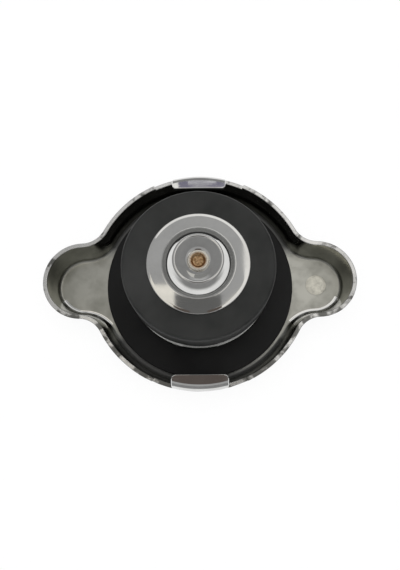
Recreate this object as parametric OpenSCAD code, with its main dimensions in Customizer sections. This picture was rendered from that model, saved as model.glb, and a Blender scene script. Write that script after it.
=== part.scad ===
// Radiator filler cap with a pressure valve and a vacuum valve, lying on its flat top.
// The origin is the middle of the top's outer face, +Z runs towards the valves and
// +X runs through the ear with the round stamp. All sizes are in millimetres.

/* [Shell] */
// Radius of the round body at the rim, outside
body_r = 23.3; // [22.6:0.1:26]
// Length over both ears at the rim
ear_span = 66; // [63:0.5:70]
// Radius of each ear's round end at the rim, outside
ear_r = 8.2; // [7.5:0.1:9]
// Radius of the hollow corner between body and ear, outside
ear_corner_r = 5.2; // [4:0.2:6.4]
// Height of the trimmed rim above the top's outer face
shell_h = 7.2; // [6.8:0.1:9]
// Sheet thickness of the shell
shell_t = 0.9; // [0.7:0.05:1.1]
// Lean of the skirt from upright, in degrees
skirt_lean = 11; // [6:0.5:13]
// Inside radius of the fold between the top and the skirt
shell_fold_r = 0.7; // [0.5:0.1:1]
// Radius of the sunk middle of the top, at its outer edge
dish_r = 12; // [9:0.25:13]
// Depth that the middle of the top is sunk by
dish_depth = 0.4; // [0.3:0.05:0.7]
// Radius of the round stamp in one ear
stamp_r = 2; // [1.2:0.1:2.6]
// Height that the stamp stands up inside the ear
stamp_h = 0.35; // [0.2:0.05:0.5]
// Shift of the stamp outwards from the ear's middle
stamp_shift = 0.6; // [0:0.1:1.5]

/* [Locking lugs] */
// Width of each lug
lug_w = 11.6; // [9:0.1:13]
// Reach of each lug, from the body's outside to its inner edge
lug_reach = 3.5; // [3:0.1:3.8]
// Height of a lug's outer face above the rim
lug_rise = 0.9; // [0.6:0.05:1.4]
// Inside radius of a lug's fold
lug_fold_r = 0.6; // [0.4:0.05:0.8]
// Upward tilt of a lug towards its inner edge, in degrees
lug_tilt = 8; // [0:1:12]
// Radius of a lug's corners
lug_corner_r = 0.9; // [0.4:0.1:1.4]
// Width of the relief notch beside a lug
notch_w = 4; // [2:0.2:4.2]
// Depth of the relief notch below the rim
notch_depth = 0.5; // [0.3:0.05:0.9]

/* [Rivet] */
// Radius of the rivet's shank
rivet_r = 2; // [1.6:0.1:2.6]
// Radius of the rivet's heads
rivet_head_r = 3.6; // [3:0.1:4.2]
// Height of the formed head inside the guide
rivet_head_h = 1.1; // [0.8:0.1:1.4]

/* [Neck gasket] */
// Thickness of the spring disc behind the gasket
disc_t = 0.2; // [0.15:0.05:0.3]
// Width of the spring disc that the gasket covers beyond its edge
disc_inset = 0.8; // [0.4:0.1:1.5]
// Thickness of the neck gasket
gasket_t = 0.85; // [0.6:0.05:1.1]
// Gap between the gasket's edge and the start of the skirt's fold
gasket_gap = 0.5; // [0.3:0.1:1]
// Radius on the gasket's outer edges
gasket_edge_r = 0.2; // [0.1:0.05:0.3]

/* [Spring guide] */
// Outside radius of the guide's wall
guide_r = 12.1; // [11.6:0.05:12.4]
// Sheet thickness of the guide
guide_t = 0.6; // [0.5:0.05:0.7]
// Inside radius of the guide's folds
guide_fold_r = 0.3; // [0.2:0.05:0.4]
// Width of the guide's out-turned lip beyond its fold
guide_lip_w = 0.95; // [0.7:0.05:1.3]

/* [Pressure valve] */
// Reach from the neck gasket's face to the pressure seal's face
seal_reach = 17.35; // [17:0.05:20]
// Inside radius of the pressure seal
seal_bore_r = 7.2; // [6.8:0.1:7.6]
// Thickness of the pressure seal in front of the cup
seal_t = 2.5; // [2:0.1:3]
// Length of the seal's lip around the cup
seal_lip_h = 4.4; // [3:0.1:5]
// Thickness of the seal's lip around the cup
seal_lip_t = 0.5; // [0.4:0.05:0.6]
// Radius on the seal's outer edge
seal_edge_r = 0.6; // [0.3:0.05:0.9]
// Height of the valve cup
cup_h = 10.5; // [9.8:0.1:11.4]
// Height of the cup's wider foot
cup_foot_h = 1.4; // [1.3:0.1:2.4]
// Sheet thickness of the valve cup
cup_t = 0.6; // [0.5:0.05:0.7]
// Inside radius of the cup's folds
cup_fold_r = 0.3; // [0.2:0.05:0.4]
// Count of the vent holes in the cup
vent_count = 6; // [4:1:7]
// Radius of a vent hole
vent_r = 1.1; // [0.8:0.1:1.2]
// Distance of the vent holes from the middle
vent_at = 5; // [4.8:0.1:5.4]
// Wire radius of the pressure spring
main_wire_r = 0.85; // [0.7:0.05:0.9]
// Turns of the pressure spring, with its two closed ends
main_turns = 5; // [4.5:0.5:5.5]

/* [Vacuum valve] */
// Radius of the vacuum plate
plate_r = 9.85; // [9.4:0.05:10.6]
// Sheet thickness of the vacuum plate
plate_t = 0.5; // [0.4:0.05:0.6]
// Radius of the dome's foot on the plate
dome_foot_r = 6.7; // [6.3:0.1:7]
// Radius of the dome's crest
dome_crest_r = 4.5; // [4.3:0.1:4.9]
// Height of the dome above the plate's flat ring
dome_h = 3; // [2.6:0.1:3.4]
// Width of the flat round the stem's head in the dome's hollow
hollow_flat_w = 0.3; // [0.2:0.05:0.6]
// Depth of the dome's hollow
hollow_depth = 1.6; // [1.3:0.1:1.8]
// Radius of the stem
stem_r = 1.2; // [1:0.05:1.3]
// Radius of the stem's heads and of the collar behind the plate
stem_head_r = 2.05; // [1.8:0.05:2.2]
// Height of the stem's head in front of the plate
stem_head_h = 0.8; // [0.6:0.05:1]
// Radius of the dimple in the stem's head
dimple_r = 1.4; // [1.1:0.05:1.6]
// Depth of the dimple in the stem's head
dimple_depth = 0.45; // [0.3:0.05:0.5]
// Radius of the washer that keeps the vacuum spring
keeper_r = 3.4; // [3:0.1:3.8]
// Thickness of the keeper washer
keeper_t = 0.5; // [0.4:0.05:0.7]
// Length of the vacuum spring between the cup and the keeper
small_spring_h = 4.2; // [4:0.1:5]
// Wire radius of the vacuum spring
small_wire_r = 0.2; // [0.15:0.01:0.25]
// Turns of the vacuum spring
small_turns = 4.5; // [4:0.5:5]

/* [Clearances] */
// Radial clearance of a turning or sliding fit
running = 0.06; // [0.03:0.01:0.09]
// Side gap between a coil and what it stands in or around
coil_gap = 0.25; // [0.2:0.05:0.35]
// Gap where two parts of one body touch along a curve
seat_gap = 0.05; // [0.02:0.01:0.1]
// End play between faces that turn or slide on each other
end_play = 0.05; // [0.03:0.01:0.1]

/* [Hidden] */
$fn = 96;

// Overlap that carries one solid into the next, and a cut past a face
join = 0.5;
// Small step that lets two curved faces cross instead of touching
crossing_gap = 0.02;
// Lean of the dish's step from upright, in degrees
dish_lean = 40;
// Flats that make up the arc of a bend
bend_steps = 6;
// Bend radii along the vacuum plate, from its flat ring to the middle
plate_bends = [0.8, 0.8, 0.7];
// Facets of the springs
main_steps = 20;
main_sides = 8;
small_steps = 14;
small_sides = 6;

plate_metal = "gainsboro";
zinc = "silver";
rubber = "#262626";
brass = "#b8905a";

// Ear layout: the ear's middle and the middle of the hollow corner that touches body and ear
ear_x = ear_span / 2 - ear_r;
stamp_x = ear_x + stamp_shift;
corner_x = (ear_x ^ 2 + (body_r + ear_corner_r) ^ 2 - (ear_r + ear_corner_r) ^ 2) / (2 * ear_x);
corner_y = sqrt((body_r + ear_corner_r) ^ 2 - corner_x ^ 2);
body_angle = atan2(corner_y, corner_x);
ear_angle = atan2(corner_y, corner_x - ear_x);

// Middle line of the skirt's sheet, as offsets from the rim's outside
rim_mid = [-shell_t / 2 / cos(skirt_lean), shell_h];
// Middle of the fold's arcs, where the flat top ends
fold_z = shell_t + shell_fold_r;
fold_u = -(shell_h - fold_z) * tan(skirt_lean) - fold_z / cos(skirt_lean);

// Heights of the faces, from the flat top upwards
dish_z = dish_depth + shell_t;
disc_z = dish_z + end_play;
guide_z = disc_z + disc_t;
guide_floor_z = guide_z + guide_t;
gasket_z = guide_z + gasket_t;
seal_z = gasket_z + seal_reach;
cup_z = seal_z - seal_t;
cup_floor_z = cup_z - cup_t;
lip_z = cup_z - cup_h;
flare_z = lip_z + cup_foot_h;
guide_top_z = lip_z + cup_t + end_play + guide_t;
plate_z = seal_z + seat_gap;
plate_top_z = plate_z + plate_t;
hollow_z = plate_top_z + dome_h - hollow_depth;
keeper_z = cup_floor_z - small_spring_h - keeper_t - 2 * seat_gap;
notch_z = shell_h - notch_depth;
lug_z = shell_h + lug_rise;

// Radii that follow from what they fit
gasket_r = body_r + fold_u - gasket_gap;
disc_r = gasket_r - disc_inset;
gasket_bore_r = guide_r + seat_gap;
guide_lip_r = guide_r + guide_fold_r + guide_lip_w;
cup_lip_r = guide_r + guide_fold_r + seat_gap;
cup_wall_r = guide_lip_r + cup_fold_r + cup_t;
seal_r = cup_wall_r + seat_gap + seal_lip_t;
cup_foot_r = seal_r;
hollow_r = stem_head_r + hollow_flat_w;
main_spring_r = guide_r - guide_t - coil_gap - main_wire_r;
stem_bore_r = stem_r + running;
rivet_bore_r = rivet_r + running;
small_spring_r = stem_head_r + small_wire_r + coil_gap;

function unit(v) = v / norm(v);
function left(v) = [-v.y, v.x];
function heading(v) = atan2(v.y, v.x);
function around(angle) = [cos(angle), sin(angle)];
// Points of an arc between two angles
function arc(middle, r, from, to) =
    [for (k = [0:bend_steps]) middle + r * around(from + (to - from) * k / bend_steps)];
// Turn from one direction to the next, positive to the left
function turn(a, b) = let (t = heading(b) - heading(a)) t > 180 ? t - 360 : t < -180 ? t + 360 : t;
// Points of one bend at a corner, pushed to the left of the path by side
function bend_points(before, corner, after, r, side) =
    let (a = unit(corner - before), b = unit(after - corner), t = turn(a, b), hand = sign(t),
        middle = corner - a * r * abs(tan(t / 2)) + left(a) * r * hand, from = heading(a) - 90 * hand)
    arc(middle, r - side * hand, from, from + t);
// One side of a folded sheet whose middle line follows the path
function sheet_side(path, bends, side) =
    let (last = len(path) - 1)
    [path[0] + left(unit(path[1] - path[0])) * side,
        for (i = [1:last - 1]) each bend_points(path[i - 1], path[i], path[i + 1], bends[i - 1], side),
        path[last] + left(unit(path[last] - path[last - 1])) * side];
function backwards(list) = [for (i = [len(list) - 1:-1:0]) list[i]];

// Section of folded sheet along a path of its middle line, with a bend radius at each inner point
module sheet_section(path, bends, thick) {
    polygon(concat(sheet_side(path, bends, thick / 2), backwards(sheet_side(path, bends, -thick / 2))));
}

module revolved_sheet(path, bends, thick) {
    rotate_extrude() sheet_section(path, bends, thick);
}

// Coil of round wire between two faces, with its end turns closed
module coil(mean_r, wire_r, low_z, high_z, turns, steps, sides) {
    pitch_end = 2 * wire_r + seat_gap;
    rises = [[0, low_z + wire_r], [1, low_z + wire_r + pitch_end],
        [turns - 1, high_z - wire_r - pitch_end], [turns, high_z - wire_r]];
    rings = round(turns * steps);
    points = [for (i = [0:rings], j = [0:sides - 1])
        let (n = turns * i / rings, out = mean_r + wire_r * cos(360 * j / sides))
        [out * cos(360 * n), out * sin(360 * n), lookup(n, rises) + wire_r * sin(360 * j / sides)]];
    skin = [for (i = [0:rings - 1], j = [0:sides - 1])
        let (next = (j + 1) % sides)
        [i * sides + j, (i + 1) * sides + j, (i + 1) * sides + next, i * sides + next]];
    ends = [[for (j = [0:sides - 1]) j], [for (j = [sides - 1:-1:0]) rings * sides + j]];
    polyhedron(points, concat(skin, ends));
}

// Shell

// Offsets from the rim's outside against height, for the shell's outside or its inside
function skirt_side(r, rim_u) = concat(
    arc([fold_u, fold_z], r, -90, -skirt_lean),
    [[rim_u, shell_h], [rim_u + join * tan(skirt_lean), shell_h + join]]);

// Round solid with the skirt's profile, r at the rim's outside
module bowl(r, side) {
    last = side[len(side) - 1];
    rotate_extrude() polygon(concat([[0, side[0].y]], [for (p = side) [r + p.x, p.y]], [[0, last.y]]));
}

// Web between body and ear, ended by the hollow corner
module web(side) {
    last = side[len(side) - 1];
    difference() {
        translate([0, 0, side[0].y]) linear_extrude(last.y - side[0].y)
            polygon([[0, 0], [ear_x, 0], [corner_x, corner_y]]);
        translate([corner_x, corner_y]) rotate_extrude() polygon(concat([[0, side[0].y - join],
            [ear_corner_r + crossing_gap - side[0].x, side[0].y - join]],
            [for (p = side) [ear_corner_r + crossing_gap - p.x, p.y]],
            [[ear_corner_r + crossing_gap - last.x, last.y + join], [0, last.y + join]]));
    }
}

// Whole bowl of body, ears and webs
module eared_bowl(side) {
    bowl(body_r, side);
    for (x = [-1, 1]) translate([x * ear_x, 0]) bowl(ear_r, side);
    each_quarter() web(side);
}

module each_quarter() {
    for (x = [0, 1], y = [0, 1]) mirror([x, 0, 0]) mirror([0, y, 0]) children();
}

// Plan of a lug, with round corners at its straight inner edge
module lug_plan() {
    inner_y = body_r - lug_reach;
    half = lug_w / 2;
    at = [half - lug_corner_r, inner_y + lug_corner_r];
    polygon(concat([[half, body_r + join], [-half, body_r + join]],
        arc([-at.x, at.y], lug_corner_r, 180, 270), arc(at, lug_corner_r, -90, 0)));
}

// Skirt continued upwards and folded inwards, as offsets from the rim's outside
module lug_section() {
    fold_r = lug_fold_r + shell_t / 2;
    // Where the middle lines of the leaning skirt and the tilted lug cross
    crossing_z = lug_z - shell_t / 2 / cos(lug_tilt);
    crossing = [rim_mid.x + (crossing_z - rim_mid.y) * tan(skirt_lean), crossing_z];
    foot_z = notch_z - join;
    foot = [rim_mid.x + (foot_z - rim_mid.y) * tan(skirt_lean), foot_z];
    tip = crossing + 2 * lug_reach * [-cos(lug_tilt), sin(lug_tilt)];
    sheet_section([foot, crossing, tip], [fold_r], shell_t - 2 * crossing_gap);
}

module lug() {
    sweep = 2 * asin((lug_w / 2 + notch_w) / (body_r - lug_reach));
    intersection() {
        rotate(90 - sweep / 2) rotate_extrude(angle = sweep) translate([body_r, 0]) lug_section();
        translate([0, 0, notch_z - 2 * join]) linear_extrude(shell_h) lug_plan();
    }
}

module cap_shell() {
    slope = dish_depth * tan(dish_lean);
    color(plate_metal) difference() {
        union() {
            difference() {
                intersection() {
                    union() eared_bowl(skirt_side(shell_fold_r + shell_t, 0));
                    translate([-ear_span, -ear_span]) cube([2 * ear_span, 2 * ear_span, shell_h]);
                }
                union() eared_bowl(skirt_side(shell_fold_r, -shell_t / cos(skirt_lean)));
                for (side = [0, 1]) mirror([0, side, 0])
                    translate([-lug_w / 2 - notch_w, body_r / 2, notch_z])
                        cube([lug_w + 2 * notch_w, body_r, shell_h]);
            }
            for (side = [0, 1]) mirror([0, side, 0]) lug();
            translate([stamp_x, 0, shell_t / 2]) cylinder(h = shell_t / 2 + stamp_h, r = stamp_r);
            translate([0, 0, shell_t])
                cylinder(h = dish_depth, r1 = dish_r + shell_t / 2, r2 = dish_r + shell_t / 2 - slope);
        }
        translate([stamp_x, 0, -join]) cylinder(h = stamp_h + join, r = stamp_r - shell_t / 2);
        translate([0, 0, -dish_depth])
            cylinder(h = 2 * dish_depth, r1 = dish_r + slope, r2 = dish_r - slope);
        cylinder(h = 2 * shell_h, r = rivet_r + seat_gap);
    }
}

// Fixed and turning pieces behind the valve

module centre_rivet() {
    head_edge = 0.3;
    outer_head = dish_depth - 2 * seat_gap;
    inner_z = guide_floor_z + end_play;
    color(zinc) {
        translate([0, 0, seat_gap]) cylinder(h = outer_head, r = rivet_head_r);
        translate([0, 0, seat_gap + outer_head / 2]) cylinder(h = inner_z - outer_head / 2, r = rivet_r);
        translate([0, 0, inner_z]) {
            cylinder(h = rivet_head_h - head_edge, r = rivet_head_r);
            translate([0, 0, rivet_head_h - head_edge])
                cylinder(h = head_edge, r1 = rivet_head_r, r2 = rivet_head_r - head_edge);
        }
    }
}

module spring_disc() {
    color(zinc) translate([0, 0, disc_z]) difference() {
        cylinder(h = disc_t, r = disc_r);
        translate([0, 0, -join]) cylinder(h = disc_t + 2 * join, r = rivet_bore_r);
    }
}

module neck_gasket() {
    edge = gasket_edge_r;
    color(rubber) translate([0, 0, guide_z]) rotate_extrude() polygon(concat(
        [[gasket_bore_r, 0]], arc([gasket_r - edge, edge], edge, -90, 0),
        arc([gasket_r - edge, gasket_t - edge], edge, 0, 90), [[gasket_bore_r, gasket_t]]));
}

module spring_guide() {
    mid = guide_t / 2;
    bend = guide_fold_r + mid;
    color(zinc) revolved_sheet([[rivet_bore_r, guide_z + mid], [guide_r - mid, guide_z + mid],
        [guide_r - mid, guide_top_z - mid], [guide_lip_r, guide_top_z - mid]], [bend, bend], guide_t);
}

module pressure_spring() {
    color(zinc) coil(main_spring_r, main_wire_r, guide_floor_z + seat_gap, cup_floor_z - seat_gap,
        main_turns, main_steps, main_sides);
}

// Pressure valve

// Cup with a wall that the seal's lip fits round, flared out to the seal's own radius at its foot
module valve_cup() {
    mid = cup_t / 2;
    bend = cup_fold_r + mid;
    color(plate_metal) difference() {
        revolved_sheet([[stem_bore_r, cup_z - mid], [cup_wall_r - mid, cup_z - mid],
            [cup_wall_r - mid, flare_z + cup_foot_r - cup_wall_r], [cup_foot_r - mid, flare_z],
            [cup_foot_r - mid, lip_z + mid], [cup_lip_r, lip_z + mid]], [bend, bend, bend, bend], cup_t);
        for (i = [0:vent_count - 1]) rotate(360 * i / vent_count)
            translate([vent_at, 0, cup_floor_z - join]) cylinder(h = cup_t + 2 * join, r = vent_r);
    }
}

module pressure_seal() {
    edge = seal_edge_r;
    lip_in = seal_r - seal_lip_t;
    color(rubber) rotate_extrude() polygon(concat([[seal_bore_r, cup_z], [lip_in, cup_z],
        [lip_in, cup_z - seal_lip_h], [seal_r, cup_z - seal_lip_h]],
        arc([seal_r - edge, seal_z - edge], edge, 0, 90), [[seal_bore_r, seal_z]]));
}

// Vacuum valve

module vacuum_plate() {
    mid = plate_t / 2;
    crest_z = plate_top_z + dome_h - mid;
    color(plate_metal) revolved_sheet([[plate_r, plate_z + mid], [dome_foot_r, plate_z + mid],
        [dome_crest_r, crest_z], [hollow_r, hollow_z - mid],
        [stem_r + seat_gap, hollow_z - mid]], plate_bends, plate_t);
}

module valve_stem() {
    under_z = hollow_z - plate_t;
    tail_z = keeper_z - stem_head_h;
    color(brass) rotate_extrude() {
        difference() {
            translate([0, hollow_z]) square([stem_head_r, stem_head_h]);
            translate([0, hollow_z + stem_head_h - dimple_depth]) square([dimple_r, seal_t]);
        }
        translate([0, tail_z]) square([stem_r, hollow_z - tail_z]);
        translate([0, under_z - stem_head_h]) square([stem_head_r, stem_head_h]);
        translate([0, tail_z]) square([stem_head_r, stem_head_h]);
    }
}

module vacuum_spring() {
    color(zinc) coil(small_spring_r, small_wire_r, keeper_z + keeper_t + seat_gap, cup_floor_z - seat_gap,
        small_turns, small_steps, small_sides);
}

module spring_keeper() {
    color(zinc) translate([0, 0, keeper_z]) difference() {
        cylinder(h = keeper_t, r = keeper_r);
        translate([0, 0, -join]) cylinder(h = keeper_t + 2 * join, r = stem_r + seat_gap);
    }
}

cap_shell();
centre_rivet();
spring_disc();
neck_gasket();
spring_guide();
pressure_spring();
valve_cup();
pressure_seal();
vacuum_plate();
valve_stem();
vacuum_spring();
spring_keeper();
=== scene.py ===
"""Radiator filler cap seen from its valve side: pressed shell, rubber seals, sprung valves and a stage."""

import math

import bmesh
import bpy
from bpy.props import FloatProperty, FloatVectorProperty, IntProperty, PointerProperty
from mathutils import Matrix, Vector


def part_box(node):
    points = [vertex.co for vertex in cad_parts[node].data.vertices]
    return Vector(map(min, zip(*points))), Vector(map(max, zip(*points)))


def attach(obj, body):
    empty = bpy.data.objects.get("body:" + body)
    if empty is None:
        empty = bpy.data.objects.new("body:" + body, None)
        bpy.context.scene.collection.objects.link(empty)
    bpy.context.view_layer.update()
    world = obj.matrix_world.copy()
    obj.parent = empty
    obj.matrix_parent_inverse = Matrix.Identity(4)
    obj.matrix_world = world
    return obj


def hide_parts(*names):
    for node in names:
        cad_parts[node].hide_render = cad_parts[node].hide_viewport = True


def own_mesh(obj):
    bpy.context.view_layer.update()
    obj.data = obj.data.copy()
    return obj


bl_info = {
    "name": "Radiator Filler Cap",
    "version": (1, 0, 0),
    "blender": (4, 5, 0),
    "location": "3D View > Sidebar > Filler Cap",
    "description": "Builds the finished pieces of a radiator filler cap around its packed frame",
    "category": "Object",
}

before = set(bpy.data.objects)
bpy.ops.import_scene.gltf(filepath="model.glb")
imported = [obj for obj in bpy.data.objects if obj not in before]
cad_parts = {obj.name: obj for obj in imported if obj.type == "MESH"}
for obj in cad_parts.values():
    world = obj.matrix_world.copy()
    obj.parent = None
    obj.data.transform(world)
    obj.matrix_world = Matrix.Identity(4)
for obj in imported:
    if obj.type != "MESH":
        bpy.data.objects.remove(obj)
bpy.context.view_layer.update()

MM = 0.001
# Long side in pixels of the picture to which the focal length belongs
PHOTO_LONG_SIDE = 570
# Segments of a revolved piece, of a fillet, of each stretch of the shell's outline and of a lug's width
LATHE_STEPS = 144
FILLET_STEPS = 5
EAR_STEPS = 28
CORNER_STEPS = 16
BODY_STEPS = 40
NOTCH_STEPS = 12
LUG_STEPS = 28
# Flat band kept beside each fillet, so that flats shade flat
GUARD = 0.06 * MM
# Edges that bend more than this stay crisp
CRISP_ANGLE = math.radians(38)
# Points nearer to the axis than this lie on it
ON_AXIS = 1e-7


def length(name, description, default):
    """Length property, with its default in metres."""
    return FloatProperty(name=name, description=description, default=default, unit="LENGTH", precision=5)


def angle(name, description, degrees):
    """Angle property, with its default in degrees."""
    return FloatProperty(name=name, description=description, default=math.radians(degrees), subtype="ANGLE")


def colour(name, description, default):
    """Colour property, linear red, green and blue."""
    return FloatVectorProperty(
        name=name, description=description, default=default, subtype="COLOR", size=3, min=0.0, max=1.0
    )


class CapShellSizes(bpy.types.PropertyGroup):
    """Sizes of the pressed shell."""

    body_r: length("Body radius", "Radius of the round body at the rim", 23.3 * MM)
    ear_span: length("Ear span", "Length over both ears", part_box("cap_shell")[1].x * 2)
    ear_r: length("Ear radius", "Radius of each ear's round end", 8.2 * MM)
    corner_r: length("Corner radius", "Radius of the hollow corner between body and ear", 5.2 * MM)
    height: length("Height", "Height of the trimmed rim", 7.2 * MM)
    sheet: length("Sheet", "Thickness of the sheet", 0.9 * MM)
    lean: angle("Skirt lean", "Lean of the skirt from upright", 11)
    fold_r: length("Fold radius", "Inside radius of the fold between top and skirt", 0.7 * MM)
    rim_edge: length("Rim edge", "Radius worn on the rim's edges", 0.16 * MM)
    dish_r: length("Dish radius", "Radius of the sunk middle of the top", 12 * MM)
    dish_depth: length("Dish depth", "Depth of the sunk middle", 0.4 * MM)
    dish_lean: angle("Dish lean", "Lean of the dish's step", 40)
    stamp_r: length("Stamp radius", "Radius of the round stamp in one ear", 2 * MM)
    stamp_h: length("Stamp height", "Depth of the stamp outside the ear", 0.35 * MM)
    stamp_rise: length("Stamp rise", "Rise of the soft stamp inside the ear", 0.15 * MM)
    stamp_shift: length("Stamp shift", "Shift of the stamp outwards from the ear's middle", 0.6 * MM)
    lug_w: length("Lug width", "Width of each locking lug", 11.6 * MM)
    lug_reach: length("Lug reach", "Reach of a lug from the body's outside", 3.5 * MM)
    lug_rise: length("Lug rise", "Height of a lug's face above the rim", 0.9 * MM)
    lug_fold_r: length("Lug fold radius", "Inside radius of a lug's fold", 0.6 * MM)
    lug_tilt: angle("Lug tilt", "Upward tilt of a lug towards its inner edge", 8)
    lug_corner_r: length("Lug corner radius", "Radius of a lug's corners", 0.9 * MM)
    notch_w: length("Notch width", "Width of the relief notch beside a lug", 4 * MM)
    notch_depth: length("Notch depth", "Depth of the relief notch below the rim", 0.5 * MM)


class CapValveSizes(bpy.types.PropertyGroup):
    """Sizes of the pieces inside the shell that their boxes don't give."""

    rivet_r: length("Rivet shank", "Radius of the rivet's shank", 2 * MM)
    rivet_head_h: length("Rivet head", "Height of the rivet's formed head", 1.1 * MM)
    rivet_grip: length("Rivet grip", "Height of the rivet's flat head outside", 0.3 * MM)
    guide_r: length("Guide radius", "Outside radius of the spring guide's wall", 12.1 * MM)
    press_sheet: length("Pressing sheet", "Sheet thickness of guide and cup", 0.6 * MM)
    press_fold_r: length("Pressing fold", "Inside radius of the folds of guide and cup", 0.3 * MM)
    gasket_edge: length("Gasket edge", "Radius on the neck gasket's edges", 0.2 * MM)
    seal_bore_r: length("Seal bore", "Inside radius of the pressure seal", 7.2 * MM)
    seal_t: length("Seal thickness", "Thickness of the pressure seal before the cup", 2.5 * MM)
    seal_lip_t: length("Seal lip", "Thickness of the seal's lip around the cup", 0.5 * MM)
    seal_edge: length("Seal edge", "Radius on the seal's outer edge", 0.6 * MM)
    foot_h: length("Foot height", "Height of the valve cup's wider foot", 1.4 * MM)
    vent_r: length("Vent radius", "Radius of a vent hole in the cup", 1.1 * MM)
    vent_at: length("Vent circle", "Distance of the vent holes from the middle", 5 * MM)
    vent_count: IntProperty(name="Vents", description="Count of the vent holes", default=6, min=3)
    plate_t: length("Plate sheet", "Sheet thickness of the vacuum plate", 0.5 * MM)
    plate_edge_w: length("Plate edge", "Width of the plate's worn edge", 0.55 * MM)
    plate_edge_drop: length("Plate edge drop", "Drop of the plate's worn edge", 0.06 * MM)
    dome_foot_r: length("Dome foot", "Radius of the dome's foot on the plate", 6.75 * MM)
    dome_belly_r: length("Dome belly", "Radius of the dome where its side turns gentler", 5.9 * MM)
    dome_belly_h: length("Dome belly height", "Height above the plate where the dome's side turns", 1.47 * MM)
    dome_crest_r: length("Dome crest", "Radius of the dome's crest", 4.5 * MM)
    hollow_r: length("Hollow radius", "Radius of the flat in the dome's hollow", 2.35 * MM)
    hollow_depth: length("Hollow depth", "Depth of the dome's hollow", 1.6 * MM)
    stem_r: length("Stem radius", "Radius of the valve stem", 1.2 * MM)
    stem_head_r: length("Stem head", "Radius of the stem's heads", 2.05 * MM)
    stem_head_h: length("Stem head height", "Height of the stem's heads", 0.8 * MM)
    head_wear: length("Head wear", "Height worn off the stem's outer head", 0.4 * MM)
    dimple_r: length("Dimple radius", "Radius of the dimple in the stem's head", 1.4 * MM)
    dimple_depth: length("Dimple depth", "Depth of the dimple in the stem's head", 0.45 * MM)
    seat_gap: length("Seat gap", "Gap where two pieces touch along a curve", 0.05 * MM)
    main_wire_r: length("Pressure wire", "Wire radius of the pressure spring", 0.85 * MM)
    main_turns: FloatProperty(name="Pressure turns", description="Turns of the pressure spring", default=5.0)
    small_wire_r: length("Vacuum wire", "Wire radius of the vacuum spring", 0.2 * MM)
    small_turns: FloatProperty(name="Vacuum turns", description="Turns of the vacuum spring", default=4.5)


class CapFinishes(bpy.types.PropertyGroup):
    """Colours of the finishes."""

    bright: colour("Bright plating", "Plating outside the shell", (0.72, 0.72, 0.71))
    satin: colour("Satin plating", "Dulled plating inside the shell", (0.50, 0.50, 0.46))
    # Stain colour, also laid on as painted shade at the ears' ends
    stain: colour("Stain", "Stain on the satin plating", (0.31, 0.31, 0.27))
    # Dark streaks of the sheared rim, also its painted shade on the near side
    edge_dark: colour("Cut edge", "Dark streaks of the sheared rim", (0.12, 0.12, 0.11))
    polish: colour("Polished plate", "Polished vacuum plate", (0.70, 0.70, 0.685))
    cup: colour("Cup plating", "Drawn plating of the valve cup", (0.45, 0.45, 0.44))
    # Painted shade: the dark film beside the gasket stands in for shade and the gasket's dark reflection in
    # the wall
    grime: colour("Grime", "Dark film between the gasket and the skirt", (0.05, 0.05, 0.048))
    stamped: colour("Stamped face", "Rough face of the round stamp", (0.62, 0.60, 0.52))
    wall: colour("Drawn wall", "Plating drawn thin on the skirt's inside", (0.48, 0.48, 0.425))
    rubber: colour("Seal rubber", "Black rubber of the pressure seal", (0.008, 0.0088, 0.0084))
    # The gasket's black, deeper than the seal's, is painted shade for the gasket lying between drum and skirt
    gasket: colour("Gasket rubber", "Deeper black rubber of the neck gasket", (0.0045, 0.0045, 0.0046))
    bloom: colour("Bloom", "Grey bloom on the rubber", (0.042, 0.042, 0.041))
    dust: colour("Dust", "Dust specks on the rubber", (0.4, 0.4, 0.38))
    brass: colour("Brass", "Pale plated brass of the stem", (0.80, 0.77, 0.70))
    brass_dark: colour("Tarnished brass", "Tarnish in the stem's dimple", (0.36, 0.21, 0.10))
    brass_tan: colour("Tan brass", "Lighter mottle in the stem's dimple", (0.62, 0.42, 0.24))
    zinc: colour("Zinc", "Zinc plating of guide, disc and rivet", (0.58, 0.58, 0.57))
    wire: colour("Spring wire", "Drawn wire of the springs", (0.42, 0.41, 0.40))


class CapStageSettings(bpy.types.PropertyGroup):
    """Camera and light."""

    distance: length("Distance", "Distance from the camera to the middle of the cap", 122 * MM)
    aim_z: length("Aim height", "Height of the point that the camera looks at", 10 * MM)
    azimuth: angle("Azimuth", "Turn of the camera round the cap", 3.26)
    elevation: angle("Elevation", "Camera height above the horizon", 76.68)
    roll: angle("Roll", "Roll of the camera", -3.721)
    shift_right: length("Slide right", "Sideways slide of the camera", 0.165 * MM)
    shift_up: length("Slide up", "Upward slide of the camera", -1.837 * MM)
    focal_pixels: FloatProperty(name="Focal length", description="Focal length in pixels", default=594.925)
    floor: colour("Floor", "Pale floor", (0.9, 0.9, 0.9))
    backdrop: colour("Backdrop", "Grey that the backdrop fades to above the floor", (0.26, 0.26, 0.26))
    sky: colour("Surroundings", "Even light of the room", (0.44, 0.44, 0.44))


# Outlines


def turned(vector, turn):
    """A flat vector turned to the left by an angle."""
    return Vector((
        vector.x * math.cos(turn) - vector.y * math.sin(turn),
        vector.x * math.sin(turn) + vector.y * math.cos(turn),
    ))


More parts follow.
